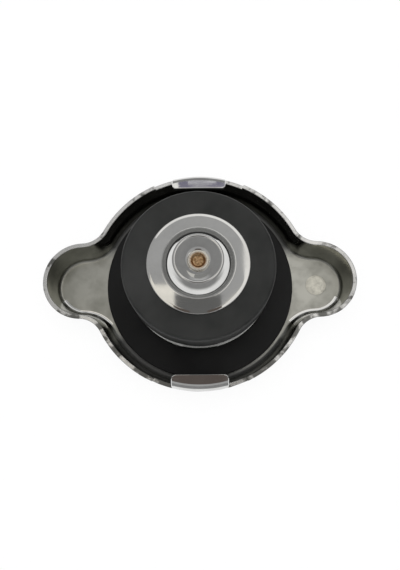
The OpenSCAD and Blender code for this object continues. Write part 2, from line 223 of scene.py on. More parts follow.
def rounded(corners, steps=FILLET_STEPS):
    """Points of an outline of (across, up, fillet) corners, each fillet an arc with a flat band beside it."""
    count = len(corners)
    places = [Vector(corner[:2]) for corner in corners]
    reaches = []
    for i, corner in enumerate(corners):
        if corner[2] <= 0:
            reaches.append(0.0)
            continue
        to_last = (places[i - 1] - places[i]).normalized()
        to_next = (places[(i + 1) % count] - places[i]).normalized()
        reaches.append(corner[2] / math.tan(to_last.angle(to_next) / 2))
    points = []
    for i, corner in enumerate(corners):
        here = places[i]
        if corner[2] <= 0:
            points.append(here)
            continue
        last, following = (i - 1) % count, (i + 1) % count
        free_before = (places[last] - here).length - reaches[i] - reaches[last]
        free_after = (places[following] - here).length - reaches[i] - reaches[following]
        back = (places[last] - here).normalized()
        ahead = (places[following] - here).normalized()
        start, end = here + back * reaches[i], here + ahead * reaches[i]
        middle = here + (back + ahead).normalized() * (corner[2] / math.sin(back.angle(ahead) / 2))
        spoke, last_spoke = start - middle, end - middle
        turn = math.atan2(spoke.x * last_spoke.y - spoke.y * last_spoke.x, spoke.dot(last_spoke))
        points.append(start + back * min(GUARD, max(free_before, 0) / 3))
        points += [middle + turned(spoke, turn * k / steps) for k in range(steps + 1)]
        points.append(end + ahead * min(GUARD, max(free_after, 0) / 3))
    return points


def sheet_corners(path, bends, thick, edge):
    """Corners of a folded sheet's section along its middle line, bends being the middle line's radii."""
    path = [Vector(point) for point in path]
    half = thick / 2
    sides = []
    for side in (half, -half):
        corners = []
        for i, here in enumerate(path):
            before = (here - path[i - 1]).normalized() if i else None
            after = (path[i + 1] - here).normalized() if i + 1 < len(path) else None
            if before is None or after is None:
                along = after or before
                spot = here + Vector((-along.y, along.x)) * side
                corners.append((spot.x, spot.y, edge))
                continue
            left_before, left_after = Vector((-before.y, before.x)), Vector((-after.y, after.x))
            spot = here + (left_before + left_after) * (side / (1 + left_before.dot(left_after)))
            hand = 1 if before.x * after.y - before.y * after.x > 0 else -1
            corners.append((spot.x, spot.y, bends[i - 1] - side * hand))
        sides.append(corners)
    return sides[0] + sides[1][::-1]


# Meshes


def lathe(bm, outline, closed, centre=(0.0, 0.0), steps=LATHE_STEPS):
    """Revolves an outline of (radius, height) points, and returns its first and last rings of vertices."""
    rings = []
    for radius, height in outline:
        if radius < ON_AXIS:
            rings.append([bm.verts.new((centre[0], centre[1], height))] * steps)
            continue
        turns = [math.tau * k / steps for k in range(steps)]
        rings.append([
            bm.verts.new((centre[0] + radius * math.cos(t), centre[1] + radius * math.sin(t), height))
            for t in turns
        ])
    pairs = list(zip(rings, rings[1:] + rings[:1])) if closed else list(zip(rings, rings[1:]))
    for low, high in pairs:
        for k in range(steps):
            after = (k + 1) % steps
            loop = [low[k], low[after], high[after], high[k]]
            bm.faces.new(list(dict.fromkeys(loop)))
    return rings[0], rings[-1]


def fill_between(bm, loops, slot):
    """Fills a flat area between loops of vertices, and gives its faces a material slot."""
    edges = []
    for loop in loops:
        for here, after in zip(loop, loop[1:] + loop[:1]):
            edges.append(bm.edges.get((here, after)) or bm.edges.new((here, after)))
    made = bmesh.ops.triangle_fill(bm, use_beauty=True, use_dissolve=False, edges=edges)
    for item in made["geom"]:
        if isinstance(item, bmesh.types.BMFace):
            item.material_index = slot


def linked(name, data):
    """New object of some data, in the scene."""
    made = bpy.data.objects.new(name, data)
    bpy.context.scene.collection.objects.link(made)
    return made


def piece(name, bm, materials):
    """Turns a closed mesh into a smooth object with its faces outwards."""
    bmesh.ops.recalc_face_normals(bm, faces=bm.faces)
    mesh = bpy.data.meshes.new(name)
    bm.to_mesh(mesh)
    bm.free()
    for material in materials:
        mesh.materials.append(material)
    mesh.shade_smooth()
    mesh.set_sharp_from_angle(angle=CRISP_ANGLE)
    return linked(name, mesh)


def place(made, body, slot, *nodes):
    """Hangs a piece on the body that it rides on and hides the nodes that it stands for; the slot is not
    used.
    """
    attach(made, body)
    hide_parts(*nodes)


def revolved(name, outline, materials, closed=True):
    """Object made by revolving one outline."""
    bm = bmesh.new()
    lathe(bm, outline, closed)
    return piece(name, bm, materials)


def washer(name, node, bore_r, edge, material):
    """Flat ring that fills the box of its node."""
    low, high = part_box(node)
    across = (bore_r, high.x, high.x, bore_r)
    up = (low.z, low.z, high.z, high.z)
    return revolved(name, rounded([(x, z, edge) for x, z in zip(across, up)]), [material])


# Node trees, where a source is a number, a list or a (node, output) pair


def feed(tree, source, target, entry):
    """Gives an input a plain value, or a link from a (node, output) pair."""
    if isinstance(source, tuple):
        node, output = source
        tree.links.new(node.outputs[output], target.inputs[entry])
    else:
        target.inputs[entry].default_value = source


def add(tree, kind, sources=None, **settings):
    """New node with its settings and the sources of its inputs."""
    made = tree.nodes.new(kind)
    for key, value in settings.items():
        setattr(made, key, value)
    for entry, source in (sources or {}).items():
        feed(tree, source, made, entry)
    return made


def maths(tree, operation, *sources):
    """Result of a Math node, as a (node, output) pair."""
    return add(tree, "ShaderNodeMath", dict(enumerate(sources)), operation=operation), "Value"


def product(tree, first, *others):
    """Product of masks, as a (node, output) pair."""
    for other in others:
        first = maths(tree, "MULTIPLY", first, other)
    return first


def ranged(tree, source, low, high, out_low=0.0, out_high=1.0):
    """A value mapped from one range to another and clamped, as a (node, output) pair."""
    sources = {"Value": source, "From Min": low, "From Max": high, "To Min": out_low, "To Max": out_high}
    return add(tree, "ShaderNodeMapRange", sources), "Result"


def blended(tree, mask, first, second):
    """Mix of two colours by a mask, as a (node, output) pair."""
    made = add(tree, "ShaderNodeMix", {"Factor": mask}, data_type="RGBA")
    for entry, source in ((6, first), (7, second)):
        feed(tree, source if isinstance(source, tuple) else [*source, 1.0], made, entry)
    return made, 2


def noise(tree, vector, scale, detail=3.0, roughness=0.5):
    """Noise on a vector, as a (node, output) pair."""
    sources = {"Vector": vector, "Scale": scale, "Detail": detail, "Roughness": roughness}
    return add(tree, "ShaderNodeTexNoise", sources), "Fac"


def object_place(tree):
    """Object coordinates, as a (node, output) pair."""
    return add(tree, "ShaderNodeTexCoord"), "Object"


def split_place(tree):
    """Node that splits the object coordinates into X, Y and Z."""
    return add(tree, "ShaderNodeSeparateXYZ", {"Vector": object_place(tree)})


def empty_material(name):
    """New material with an empty tree, and that tree."""
    material = bpy.data.materials.new(name)
    material.use_nodes = True
    material.node_tree.nodes.clear()
    return material, material.node_tree


def shader_group(name, inputs, outputs):
    """Empty shader group with float sockets, and its two end nodes."""
    tree = bpy.data.node_groups.new(name, "ShaderNodeTree")
    for socket, default in inputs.items():
        made = tree.interface.new_socket(socket, in_out="INPUT", socket_type="NodeSocketFloat")
        made.default_value = default
    for socket in outputs:
        tree.interface.new_socket(socket, in_out="OUTPUT", socket_type="NodeSocketFloat")
    return tree, tree.nodes.new("NodeGroupInput"), tree.nodes.new("NodeGroupOutput")


def geometry_tree(name, floats, counts):
    """Empty geometry tree with floats, counts and a finish as named inputs, and its two end nodes."""
    tree = bpy.data.node_groups.new(name, "GeometryNodeTree")
    kinds = {"Geometry": "Geometry"} | dict.fromkeys(floats, "Float") | dict.fromkeys(counts, "Int")
    for socket, kind in (kinds | {"Finish": "Material"}).items():
        tree.interface.new_socket(socket, in_out="INPUT", socket_type="NodeSocket" + kind)
    tree.interface.new_socket("Geometry", in_out="OUTPUT", socket_type="NodeSocketGeometry")
    return tree, tree.nodes.new("NodeGroupInput"), tree.nodes.new("NodeGroupOutput")


def dress(tree, source, start, end):
    """Ends a geometry tree by giving its result the finish."""
    made = add(tree, "GeometryNodeSetMaterial", {"Geometry": source, "Material": (start, "Finish")})
    feed(tree, (made, "Geometry"), end, "Geometry")


def grown(made, tree, values):
    """Runs a geometry tree on an object with named values, and keeps the result as its plain mesh."""
    modifier = made.modifiers.new("grow", "NODES")
    modifier.node_group = tree
    for socket in tree.interface.items_tree:
        if socket.in_out == "INPUT" and socket.name in values:
            modifier[socket.identifier] = values[socket.name]
    graph = bpy.context.evaluated_depsgraph_get()
    mesh = bpy.data.meshes.new_from_object(made.evaluated_get(graph))
    made.modifiers.remove(modifier)
    made.data = mesh
    mesh.shade_smooth()
    mesh.set_sharp_from_angle(angle=CRISP_ANGLE)
    return made


# Finishes


def handling_group():
    """Smudges, fine scratches in two directions and grain of handled metal."""
    inputs = {"Smudge Scale": 160.0, "Scratch Scale": 260.0, "Grain Scale": 5200.0}
    tree, start, end = shader_group("Handling Marks", inputs, ("Smudge", "Scratch", "Grain"))
    spot = object_place(tree)
    smudge = noise(tree, spot, (start, "Smudge Scale"), detail=5.0, roughness=0.6)
    streaks = []
    for turn in (0.5, -0.9):
        sources = {"Vector": spot, "Rotation": [0.2, 0.3, turn], "Scale": [1.0, 22.0, 22.0]}
        mapping = add(tree, "ShaderNodeMapping", sources)
        streak = noise(tree, (mapping, "Vector"), (start, "Scratch Scale"), detail=2.0, roughness=0.4)
        streaks.append(ranged(tree, streak, 0.66, 0.74))
    feed(tree, ranged(tree, smudge, 0.38, 0.68), end, "Smudge")
    feed(tree, maths(tree, "MAXIMUM", *streaks), end, "Scratch")
    feed(tree, noise(tree, spot, (start, "Grain Scale"), detail=2.0), end, "Grain")
    return tree


def rubber_group():
    """Soft bloom, dust specks and moulding grain of old rubber."""
    inputs = {"Bloom Scale": 75.0, "Speck Scale": 330.0}
    tree, start, end = shader_group("Rubber Bloom", inputs, ("Bloom", "Speck", "Grain"))
    spot = object_place(tree)
    cloud = noise(tree, spot, (start, "Bloom Scale"), detail=4.0, roughness=0.55)
    cells = add(tree, "ShaderNodeTexVoronoi", {"Vector": spot, "Scale": (start, "Speck Scale")})
    dot = ranged(tree, (cells, "Distance"), 0.05, 0.10, 1.0, 0.0)
    chance = add(tree, "ShaderNodeSeparateColor", {"Color": (cells, "Color")})
    rare = maths(tree, "GREATER_THAN", (chance, "Red"), 0.86)
    feed(tree, ranged(tree, cloud, 0.35, 0.7), end, "Bloom")
    feed(tree, product(tree, dot, rare), end, "Speck")
    feed(tree, noise(tree, spot, 3000.0, roughness=0.6), end, "Grain")
    return tree


def ring_group():
    """Fine rings left by turning and polishing, round the Z axis, and the distance from it."""
    tree, start, end = shader_group("Turned Rings", {"Ring Scale": 2600.0}, ("Rings", "Radius"))
    level = {0: object_place(tree), 1: [1.0, 1.0, 0.0]}
    flat = add(tree, "ShaderNodeVectorMath", level, operation="MULTIPLY")
    radius = (add(tree, "ShaderNodeVectorMath", {0: (flat, "Vector")}, operation="LENGTH"), "Value")
    sources = {"W": radius, "Scale": (start, "Ring Scale"), "Detail": 3.0}
    lines = add(tree, "ShaderNodeTexNoise", sources, noise_dimensions="1D")
    feed(tree, (lines, "Fac"), end, "Rings")
    feed(tree, radius, end, "Radius")
    return tree


GROUP_MAKERS = {
    "Handling Marks": handling_group,
    "Rubber Bloom": rubber_group,
    "Turned Rings": ring_group,
}


class Finish:
    """A material being built: its tree, its Principled shader and shared groups."""

    def __init__(self, name, metallic):
        self.material, self.tree = empty_material(name)
        self.shader = add(self.tree, "ShaderNodeBsdfPrincipled", {"Metallic": metallic})
        add(self.tree, "ShaderNodeOutputMaterial", {"Surface": (self.shader, "BSDF")})

    def group(self, name, values=None):
        """Shared group placed in this material."""
        shared = bpy.data.node_groups.get(name) or GROUP_MAKERS[name]()
        return add(self.tree, "ShaderNodeGroup", values, node_tree=shared)

    def give(self, entry, source):
        """Feeds one input of the shader."""
        feed(self.tree, source, self.shader, entry)

    def darkened(self, marks, tint, share):
        """Feeds a base colour that smudges darken to a share of it."""
        self.give("Base Color", blended(self.tree, (marks, "Smudge"), tint, [share * c for c in tint]))

    def dulled(self, marks, clean, smudged):
        """Feeds a roughness between that of the clean and of the smudged surface."""
        self.give("Roughness", ranged(self.tree, (marks, "Smudge"), 0.0, 1.0, clean, smudged))

    def bump(self, height, strength, depth):
        """Feeds the normal through a bump of a depth in metres."""
        sources = {"Height": height, "Strength": strength, "Distance": depth}
        self.give("Normal", (add(self.tree, "ShaderNodeBump", sources), "Normal"))


def worn_metal(name, tint, scales, dark, rough, relief, strength, depth):
    """Metal that smudges darken and dull, with one of its marks as a relief."""
    made = Finish(name, metallic=1.0)
    marks = made.group("Handling Marks", scales)
    made.darkened(marks, tint, dark)
    made.dulled(marks, *rough)
    made.bump((marks, relief), strength, depth)
    return made.material


def bright_plating(colours):
    """Bright plating with smudges and hairline scratches."""
    made = Finish("bright_plating", metallic=1.0)
    marks = made.group("Handling Marks")
    made.darkened(marks, colours.bright, share=0.88)
    smooth = ranged(made.tree, (marks, "Smudge"), 0.0, 1.0, 0.03, 0.07)
    made.give("Roughness", maths(made.tree, "MULTIPLY_ADD", (marks, "Scratch"), 0.06, smooth))
    made.bump((marks, "Grain"), strength=0.012, depth=0.004 * MM)
    return made.material


# Share of painted shade, in the stain's colour, at the ears' ends
EAR_SHADE = 0.5
# Stretches from the cap's middle over which the look of the shell's inside changes: towards the ears' ends,
# at the outer end of the painted shade by the gasket, at its start on the far and the near side, and where a
# strip of it is left out
EAR_SHADE_X = (24 * MM, 31 * MM)
SHADE_END_R = (21.4 * MM, 22.2 * MM)
SHADE_FAR_Y = (6 * MM, 9 * MM)
SHADE_NEAR_Y = (-12 * MM, -9 * MM)
UNSHADED_X = (5 * MM, 17 * MM)
UNSHADED_Y = (-6 * MM, -3 * MM)
# Distances from the gasket between which the strip left without painted shade fades
UNSHADED_STRIP = (0.25 * MM, 0.55 * MM)


def grime_film(tree, parts, radius, gasket_r):
    """Mask of the painted shade between gasket and skirt, as a (node, output) pair."""
    inside = ranged(tree, radius, *SHADE_END_R, 1.0, 0.0)
    far_side = ranged(tree, (parts, "Y"), *SHADE_FAR_Y)
    near_side = ranged(tree, (parts, "Y"), *SHADE_NEAR_Y, 1.0, 0.0)
    beside = maths(tree, "MAXIMUM", far_side, near_side)
    right = ranged(tree, (parts, "X"), *UNSHADED_X)
    below = ranged(tree, (parts, "Y"), *UNSHADED_Y, 1.0, 0.0)
    strip = ranged(tree, radius, *[gasket_r + reach for reach in UNSHADED_STRIP], 1.0, 0.0)
    unshaded_strip = product(tree, right, below, strip)
    return product(tree, inside, beside, maths(tree, "SUBTRACT", 1.0, unshaded_strip))


def satin_plating(colours, gasket_r):
    """Dulled, lightly stained plating inside the shell, with painted shade towards the ears' ends and a dark
    film of painted shade beside the gasket.
    """
    made = Finish("satin_plating", metallic=1.0)
    tree = made.tree
    marks = made.group("Handling Marks", {"Smudge Scale": 210.0, "Scratch Scale": 330.0})
    stain = ranged(tree, (marks, "Smudge"), 0.2, 1.0, 0.0, 0.55)
    tone = blended(tree, stain, colours.satin, colours.stain)
    parts = split_place(tree)
    # Painted shade: the satin plating darkens towards the ears' ends
    end_shade = ranged(tree, maths(tree, "ABSOLUTE", (parts, "X")), *EAR_SHADE_X, 0.0, EAR_SHADE)
    tone = blended(tree, end_shade, tone, colours.stain)
    # Painted shade: a dark, non-metal film beside the gasket, left out on a strip at the right
    film = grime_film(tree, parts, (made.group("Turned Rings"), "Radius"), gasket_r)
    made.give("Base Color", blended(tree, film, tone, colours.grime))
    made.give("Metallic", maths(tree, "SUBTRACT", 1.0, film))
    made.dulled(marks, clean=0.28, smudged=0.42)
    made.bump((marks, "Grain"), strength=0.3, depth=0.006 * MM)
    return made.material


def stamped_face(colours):
    """Coarse face of the round stamp."""
    made = Finish("stamped_face", metallic=0.45)
    made.give("Roughness", 0.5)
    marks = made.group("Handling Marks", {"Smudge Scale": 1000.0})
    made.darkened(marks, colours.stamped, share=0.7)
    made.bump((marks, "Smudge"), strength=0.6, depth=0.05 * MM)
    return made.material


# Stretch towards the near side over which the sheared rim grows darker as painted shade, and by how much
NEAR_RIM_SHADE_Y = (-10 * MM, -2 * MM)
NEAR_RIM_SHADE = 0.32


def cut_edge(colours):
    """Sheared rim with bright and dark streaks, and painted shade that darkens it towards the near side."""
    made = Finish("cut_edge", metallic=1.0)
    marks = made.group("Handling Marks", {"Smudge Scale": 300.0, "Scratch Scale": 500.0})
    # Painted shade: the rim grows darker towards the near side, added to its streaks of wear
    near = ranged(made.tree, (split_place(made.tree), "Y"), *NEAR_RIM_SHADE_Y, NEAR_RIM_SHADE, 0.0)
    worn = maths(made.tree, "ADD", (marks, "Smudge"), near)
    dark = ranged(made.tree, worn, 0.5, 0.8, 0.0, 0.85)
    made.give("Base Color", blended(made.tree, dark, colours.bright, colours.edge_dark))
    made.dulled(marks, clean=0.22, smudged=0.42)
    made.bump((marks, "Smudge"), strength=0.5, depth=0.03 * MM)
    return made.material


def polished_plating(colours):
    """Mirror-bright plating with faint polishing rings."""
    made = Finish("polished_plating", metallic=1.0)
    marks = made.group("Handling Marks", {"Smudge Scale": 260.0})
    made.darkened(marks, colours.polish, share=0.9)
    made.dulled(marks, clean=0.03, smudged=0.06)
    made.bump((made.group("Turned Rings"), "Rings"), strength=0.04, depth=0.004 * MM)
    return made.material


def drawn_wall(colours):
    """Inside of the skirt, drawn smooth, with a faint grain."""
    scales = {"Smudge Scale": 240.0, "Scratch Scale": 420.0}
    return worn_metal(
        "drawn_wall", colours.wall, scales, dark=0.7, rough=(0.1, 0.2),
        relief="Grain", strength=0.2, depth=0.004 * MM,
    )


def zinc_plating(colours):
    """Zinc plated pressing with a soft grain."""
    scales = {"Smudge Scale": 240.0}
    return worn_metal(
        "zinc_plating", colours.zinc, scales, dark=0.75, rough=(0.26, 0.42),
        relief="Grain", strength=0.3, depth=0.006 * MM,
    )


def cup_plating(colours):
    """Drawn and plated cup with faint scratches."""
    scales = {"Smudge Scale": 200.0, "Scratch Scale": 420.0}
    return worn_metal(
        "cup_plating", colours.cup, scales, dark=0.8, rough=(0.16, 0.3),
        relief="Scratch", strength=0.15, depth=0.006 * MM,
    )


def drawn_wire(colours):
    """Drawn spring wire."""
    scales = {"Smudge Scale": 420.0, "Scratch Scale": 600.0}
    return worn_metal(
        "drawn_wire", colours.wire, scales, dark=0.65, rough=(0.24, 0.4),
        relief="Scratch", strength=0.2, depth=0.01 * MM,
    )


# Shares of the dimple's radius between which its tarnish fades
TARNISH_FADE = (0.95, 1.25)


def dull_brass(colours, dimple_r):
    """Dull brass, tarnished in the dimple of the head."""
    made = Finish("dull_brass", metallic=1.0)
    tree = made.tree
    marks = made.group("Handling Marks", {"Smudge Scale": 900.0, "Grain Scale": 2400.0})
    rings = made.group("Turned Rings", {"Ring Scale": 4200.0})
    inside = ranged(tree, (rings, "Radius"), *[share * dimple_r for share in TARNISH_FADE], 1.0, 0.0)
    patchy = maths(tree, "MULTIPLY_ADD", (marks, "Smudge"), 0.12, inside)
    mottle = ranged(tree, (marks, "Grain"), 0.4, 0.62)
    brown = blended(tree, mottle, colours.brass_dark, colours.brass_tan)
    made.give("Base Color", blended(tree, patchy, colours.brass, brown))
    made.dulled(marks, clean=0.18, smudged=0.32)
    made.bump((rings, "Rings"), strength=0.25, depth=0.02 * MM)
    return made.material


def worn_rubber(name, colours, tint, share, gloss, dusty):
    """Moulded rubber with a share of bloom, a gloss and perhaps dust."""
    made = Finish(name, metallic=0.0)
    made.give("Specular IOR Level", gloss)
    marks = made.group("Rubber Bloom")
    cloud = ranged(made.tree, (marks, "Bloom"), 0.0, 1.0, 0.0, share)
    tone = blended(made.tree, cloud, tint, colours.bloom)
    if dusty:
        tone = blended(made.tree, (marks, "Speck"), tone, colours.dust)
    made.give("Base Color", tone)
    made.give("Roughness", ranged(made.tree, (marks, "Bloom"), 0.0, 1.0, 0.42, 0.62))
    made.bump((marks, "Grain"), strength=0.35, depth=0.012 * MM)
    return made.material


def seal_rubber(colours):
    """Seal rubber with a grey bloom and dust."""
    return worn_rubber("seal_rubber", colours, colours.rubber, share=0.6, gloss=0.35, dusty=True)


def gasket_rubber(colours):
    """Clean gasket rubber, its black deeper than the seal's as painted shade."""
    return worn_rubber("gasket_rubber", colours, colours.gasket, share=0.15, gloss=0.2, dusty=False)


def finish(maker, *more):
    """Material of a maker function, made once."""
    found = bpy.data.materials.get(maker.__name__)
    return found or maker(bpy.context.scene.cap_finishes, *more)


# Shell


def ear_layout(sizes):
    """Middle of an ear, middle of its hollow corner, and where the outline's arcs meet."""
    ear_x = sizes.ear_span / 2 - sizes.ear_r
    reach = sizes.body_r + sizes.corner_r
    corner_x = (ear_x**2 + reach**2 - (sizes.ear_r + sizes.corner_r) ** 2) / (2 * ear_x)
    corner = Vector((corner_x, math.sqrt(reach**2 - corner_x**2)))
    return ear_x, corner, math.atan2(corner.y, corner.x), math.atan2(corner.y, corner.x - ear_x)


def spread(low, high, steps):
    """Evenly spread values, with the last left out."""
    return [low + (high - low) * k / steps for k in range(steps)]


# Width of the step between the rim and a notch
NOTCH_STEP = 0.05 * MM


def quarter_outline(sizes):
    """Rim samples of one quarter from the ear's end to the lug's middle, as (spot, outward, rim height)."""
    ear_x, corner, body_turn, ear_turn = ear_layout(sizes)
    samples = []
    for t in spread(0.0, ear_turn, EAR_STEPS):
        out = Vector((math.cos(t), math.sin(t)))
        samples.append((Vector((ear_x, 0)) + out * sizes.ear_r, out, sizes.height))
    for t in spread(ear_turn, body_turn, CORNER_STEPS):
        out = Vector((math.cos(t), math.sin(t)))
        samples.append((corner - out * sizes.corner_r, out, sizes.height))
    notch_turn = math.acos((sizes.lug_w / 2 + sizes.notch_w) / sizes.body_r)
    corner_width = NOTCH_STEP / sizes.body_r
    rim_turns = spread(body_turn, notch_turn, BODY_STEPS) + [notch_turn]
    low_turns = spread(notch_turn + corner_width, math.pi / 2, NOTCH_STEPS) + [math.pi / 2]
    low_rim = sizes.height - sizes.notch_depth
    for turns, rim in ((rim_turns, sizes.height), (low_turns, low_rim)):
        for t in turns:
            out = Vector((math.cos(t), math.sin(t)))
            samples.append((out * sizes.body_r, out, rim))
    return samples


def mirrored(samples, x, y):
    """Samples mirrored by the signs x and y."""
    flip = Vector((x, y))
    return [(spot * flip, out * flip, rim) for spot, out, rim in samples]


def full_outline(sizes):
    """Rim samples all round, to the left."""
    quarter = quarter_outline(sizes)
    return (
        quarter
        + mirrored(quarter, -1, 1)[-2::-1]
        + mirrored(quarter, -1, -1)[1:]
        + mirrored(quarter, 1, -1)[-2:0:-1]
    )


def skirt_profile(sizes, rim):
    """Inside, rim and outside of the skirt, as offsets from the rim's outside against height."""
    slope = math.tan(sizes.lean)
    across = sizes.sheet / math.cos(sizes.lean)
    fold_z = sizes.sheet + sizes.fold_r
    fold_u = -(sizes.height - fold_z) * slope - fold_z / math.cos(sizes.lean)

    def outside(z):
        return (z - sizes.height) * slope

    return rounded([
        (fold_u - 4 * GUARD, sizes.sheet, 0),
        (outside(sizes.sheet) - across, sizes.sheet, sizes.fold_r),
        (outside(rim) - across, rim, sizes.rim_edge),
        (outside(rim), rim, sizes.rim_edge),
        (outside(0.0), 0.0, fold_z),
        (fold_u - 4 * GUARD, 0.0, 0),
    ])


# Material slots of the shell
INSIDE, OUTSIDE, CUT, WALL, STAMPED = range(5)
# Share of the body's radius past which the skirt belongs to an ear, and share of the ear's radius,
# towards the near side, past which its fold takes the bright plating as a painted highlight
EAR_FROM = 0.82
BRIGHT_FOLD_FROM = 1 / 3
# Share of the stamp's rise above which its coarse face starts
STAMPED_FROM = 1 / 6
# Bend of the dish's step, and radii on the edges of the stamp and of a lug
DISH_BEND = 0.35 * MM
STAMP_EDGE = 0.14 * MM
LUG_EDGE = 0.15 * MM
# Reach of a lug's foot below the notch, and how much thinner than the skirt a lug is
LUG_FOOT = 0.5 * MM
LUG_THINNER = 0.04 * MM


def add_skirt(bm, sizes):
    """Sweeps the skirt round the outline, and returns its loops on both faces of the top."""
    rings = []
    for spot, out, rim in full_outline(sizes):
        profile = skirt_profile(sizes, rim)
        rings.append([bm.verts.new((*(spot + out * u), z)) for u, z in profile])
    count = len(rings[0])
    rim_start = count // 2 - FILLET_STEPS - 2
    fold_end = 1 + FILLET_STEPS
    for here, after in zip(rings, rings[1:] + rings[:1]):
        in_ear = abs(here[0].co.x) > sizes.body_r * EAR_FROM
        near_side = here[0].co.y < -sizes.ear_r * BRIGHT_FOLD_FROM
        # Painted highlight: on the ears' near side the inside fold takes the bright outside plating
        fold_finish = OUTSIDE if in_ear and near_side else INSIDE
        for k in range(count - 1):
            face = bm.faces.new((here[k], after[k], after[k + 1], here[k + 1]))
            if k < fold_end:
                face.material_index = fold_finish
            elif k < rim_start:
                face.material_index = WALL
            elif k > count - 2 - rim_start:
                face.material_index = OUTSIDE
            else:
                face.material_index = CUT
    return [ring[0] for ring in rings], [ring[-1] for ring in rings]


def add_dish(bm, sizes, bore_r):
    """Sunk middle of the top with the rivet's hole, and its loops on both faces."""
    step = sizes.dish_depth * math.tan(sizes.dish_lean)
    inner_r = sizes.dish_r + sizes.sheet / 2
    bend = DISH_BEND
    outline = rounded([
        (inner_r + 2 * bend, sizes.sheet, 0),
        (inner_r, sizes.sheet, bend),
        (inner_r - step, sizes.sheet + sizes.dish_depth, bend),
        (bore_r, sizes.sheet + sizes.dish_depth, sizes.rim_edge),
        (bore_r, sizes.dish_depth, sizes.rim_edge),
        (sizes.dish_r - step, sizes.dish_depth, bend),
        (sizes.dish_r, 0.0, bend),
        (sizes.dish_r + 2 * bend, 0.0, 0),
    ])
    return lathe(bm, outline, closed=False)


def add_stamp(bm, sizes, stamp_x):
    """Round stamp that stands up in one ear, and its loops on both faces."""
    edge = STAMP_EDGE
    hollow_r = sizes.stamp_r - sizes.sheet / 2
    boss = rounded([
        (sizes.stamp_r + 4 * edge, sizes.sheet, 0),
        (sizes.stamp_r + 2 * edge, sizes.sheet, edge),
        (sizes.stamp_r - 2 * edge, sizes.sheet + sizes.stamp_rise, edge),
        (0.0, sizes.sheet + sizes.stamp_rise, 0),
    ])
    hollow = rounded([
        (hollow_r + 3 * edge, 0.0, 0),
        (hollow_r, 0.0, edge),
        (hollow_r, sizes.stamp_h, edge),
        (0.0, sizes.stamp_h, 0),
    ])
    loops = []
    for outline in (boss, hollow):
        loops.append(lathe(bm, outline, closed=False, centre=(stamp_x, 0.0), steps=LATHE_STEPS // 2)[0])
    top_z = sizes.sheet + sizes.stamp_rise * STAMPED_FROM
    for face in bm.faces:
        middle = face.calc_center_median()
        if middle.z > top_z and (middle.xy - Vector((stamp_x, 0.0))).length < sizes.stamp_r:
            face.material_index = STAMPED
    return loops


def add_lug(bm, sizes, side):
    """Locking lug folded inwards from the skirt on one side."""
    slope = math.tan(sizes.lean)
    half = sizes.lug_w / 2
    edge = LUG_EDGE
    inner_y = sizes.body_r - sizes.lug_reach
    mid_u = -sizes.sheet / 2 / math.cos(sizes.lean)
    fold_z = sizes.height + sizes.lug_rise - sizes.sheet / 2 / math.cos(sizes.lug_tilt)
    foot_z = sizes.height - sizes.notch_depth - LUG_FOOT
    fold = Vector((mid_u + (fold_z - sizes.height) * slope, fold_z))
    foot = Vector((mid_u + (foot_z - sizes.height) * slope, foot_z))
    across = [-half, -half + edge] + spread(-half + edge, half - edge, LUG_STEPS)[1:] + [half - edge, half]
    loops = []
    for x in across:
        thick = sizes.sheet - LUG_THINNER - (2 * edge if abs(x) == half else 0)
        past = max(abs(x) - (half - sizes.lug_corner_r), 0.0)
        end_y = inner_y + sizes.lug_corner_r - math.sqrt(max(sizes.lug_corner_r**2 - past**2, 0.0))
        end_u = math.hypot(x, end_y) - sizes.body_r
        tip = Vector((end_u, fold.y + (fold.x - end_u) * math.tan(sizes.lug_tilt)))
        corners = sheet_corners([foot, fold, tip], [sizes.lug_fold_r + sizes.sheet / 2], thick, edge)
        section = rounded(corners)
        loops.append([
            bm.verts.new((x, side * math.sqrt((sizes.body_r + u) ** 2 - x * x), z)) for u, z in section
        ])
    for here, after in zip(loops, loops[1:]):
        for k in range(len(here)):
            following = (k + 1) % len(here)
            face = bm.faces.new((here[k], after[k], after[following], here[following]))
            face.material_index = OUTSIDE
    for end in (loops[0], loops[-1]):
        bm.faces.new(end).material_index = CUT


class CAP_OT_pressed_shell(bpy.types.Operator):
    """Build the pressed shell with its ears, locking lugs, dish and stamp."""

    bl_idname = "cap.pressed_shell"
    bl_label = "Pressed Shell"

    def execute(self, context):
        sizes = context.scene.cap_shell_sizes
        valve = context.scene.cap_valve_sizes
        bm = bmesh.new()
        inside, outside = add_skirt(bm, sizes)
        dish_in, dish_out = add_dish(bm, sizes, valve.rivet_r + valve.seat_gap)
        stamp_in, stamp_out = add_stamp(bm, sizes, ear_layout(sizes)[0] + sizes.stamp_shift)
        fill_between(bm, [inside, dish_in, stamp_in], INSIDE)
        fill_between(bm, [outside, dish_out, stamp_out], OUTSIDE)
        for side in (1, -1):
            add_lug(bm, sizes, side)
        for face in bm.faces:
            if face.calc_center_median().z < sizes.sheet / 2:
                face.material_index = OUTSIDE
        finishes = [finish(satin_plating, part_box("neck_gasket")[1].x)]
        finishes += [finish(maker) for maker in (bright_plating, cut_edge, drawn_wall, stamped_face)]
        shell = piece("pressed_shell", bm, finishes)
        place(shell, "shell", "shell_plate", "cap_shell")
        return {"FINISHED"}


# Fixed and turning pieces behind the valve

# Radii on the edges of turned, pressed and moulded pieces, from sharp to soft
SHARP_EDGE = 0.05 * MM
THIN_EDGE = 0.08 * MM
PRESSED_EDGE = 0.1 * MM
LIP_EDGE = 0.12 * MM
HEAD_EDGE = 0.15 * MM
SOFT_EDGE = 0.2 * MM
DIMPLE_EDGE = 0.25 * MM
BORE_EDGE = 0.3 * MM
FORMED_EDGE = 0.5 * MM


